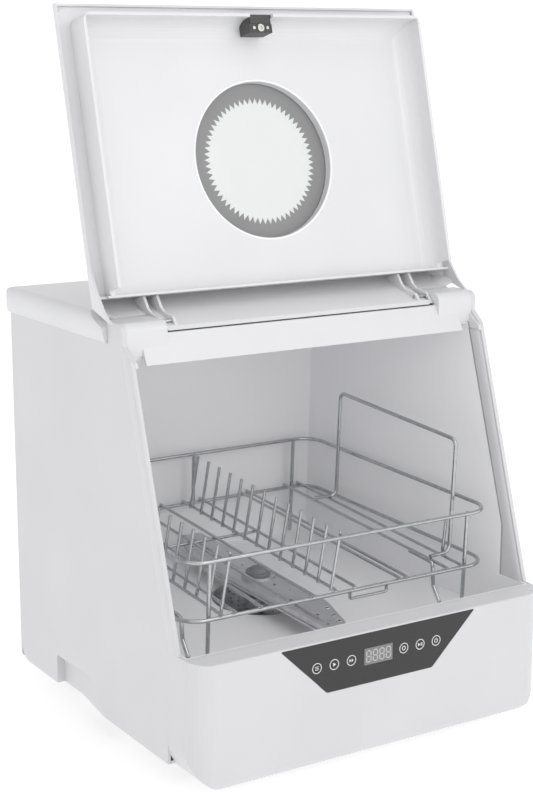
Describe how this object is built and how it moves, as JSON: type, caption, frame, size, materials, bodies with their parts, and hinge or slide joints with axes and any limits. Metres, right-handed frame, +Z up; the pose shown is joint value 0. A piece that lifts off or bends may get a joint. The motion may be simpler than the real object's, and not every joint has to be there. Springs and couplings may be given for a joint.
{
  "type": "countertop dishwasher",
  "caption": "Compact white countertop dishwasher with a lift-up windowed lid, a wire basket and a turning spray arm.",
  "frame": {"origin": "on the table under the middle of the cabinet, level with the undersides of the feet", "axes": "+Z up, +X to the user's right as seen from the front, -Y towards the user"},
  "size_m": [0.446, 0.4303, 0.7532],
  "materials": {
    "white_abs": "satin moulded shell",
    "lid_abs": "satin moulded shell",
    "tub_pp": "fine matte moulding",
    "rubber": "matte",
    "gasket_silicone": "soft matte",
    "panel_acrylic": "dark back-printed panel",
    "display_film": "tinted film",
    "print_white": "printed",
    "print_grey": "printed",
    "board": "solder mask",
    "steel": "brushed",
    "wire_chrome": "bright wire",
    "grey_pp": "moulded",
    "window_glass": "clear pane",
    "dark_abs": "fine spark-eroded grain"
  },
  "bodies": {
    "cabinet": {"front_fascia": "white_abs", "side_panel_left": "white_abs", "side_panel_right": "white_abs", "back_panel": "white_abs", "base_tray": "white_abs", "feet": "rubber", "top_cover": "white_abs", "opening_header": "white_abs", "hinge_pins": "steel", "tub": "tub_pp", "tub_gasket": "gasket_silicone", "control_panel": "panel_acrylic", "key_rings": "print_white", "display_window": "display_film", "display_digits": "print_white", "control_board": "board", "catch_magnet": "steel", "reed_switch": "rubber", "sump": "grey_pp", "filter": "steel", "heater": "steel", "spray_feed_pipe": "grey_pp", "spray_pump_volute": "grey_pp", "spray_pump_motor": "steel", "drain_pump": "grey_pp", "drain_hose": "rubber", "drain_spigot": "grey_pp", "inlet_valve": "white_abs", "inlet_hose": "rubber", "cord_gland": "rubber", "power_board": "board", "float_switch": "white_abs", "panel_screws": "steel"},
    "lid": {"lid_shell": "lid_abs", "lid_liner": "lid_abs", "window_frame": "lid_abs", "window_pane": "window_glass", "window_print": "print_grey", "latch_housing": "dark_abs", "latch_screw": "steel"},
    "spray_arm": {"spray_arm": "steel", "spray_arm_cap": "grey_pp"},
    "basket": {"basket_top_ring": "wire_chrome", "basket_bottom_ring": "wire_chrome", "basket_posts": "wire_chrome", "basket_floor_wires": "wire_chrome", "basket_cross_wires": "wire_chrome", "basket_tines": "wire_chrome", "basket_bowl_loop": "wire_chrome", "basket_legs": "wire_chrome"}
  },
  "joints": [
    {"name": "lid_hinge", "type": "hinge", "parent": "cabinet", "child": "lid", "pos_m": [0, -0.0492, 0.443], "axis": [1, 0, 0], "range_deg": [0, 176.8]},
    {"name": "spray_arm_spin", "type": "hinge", "parent": "cabinet", "child": "spray_arm", "pos_m": [-0.008, 0.022, 0.10618], "axis": [0, -0.0611, 0.9981], "continuous": true},
    {"name": "basket_lift", "type": "slide", "parent": "cabinet", "child": "basket", "axis": [0, -0.0611, 0.9981], "range_m": [0, 0.016]}
  ]
}
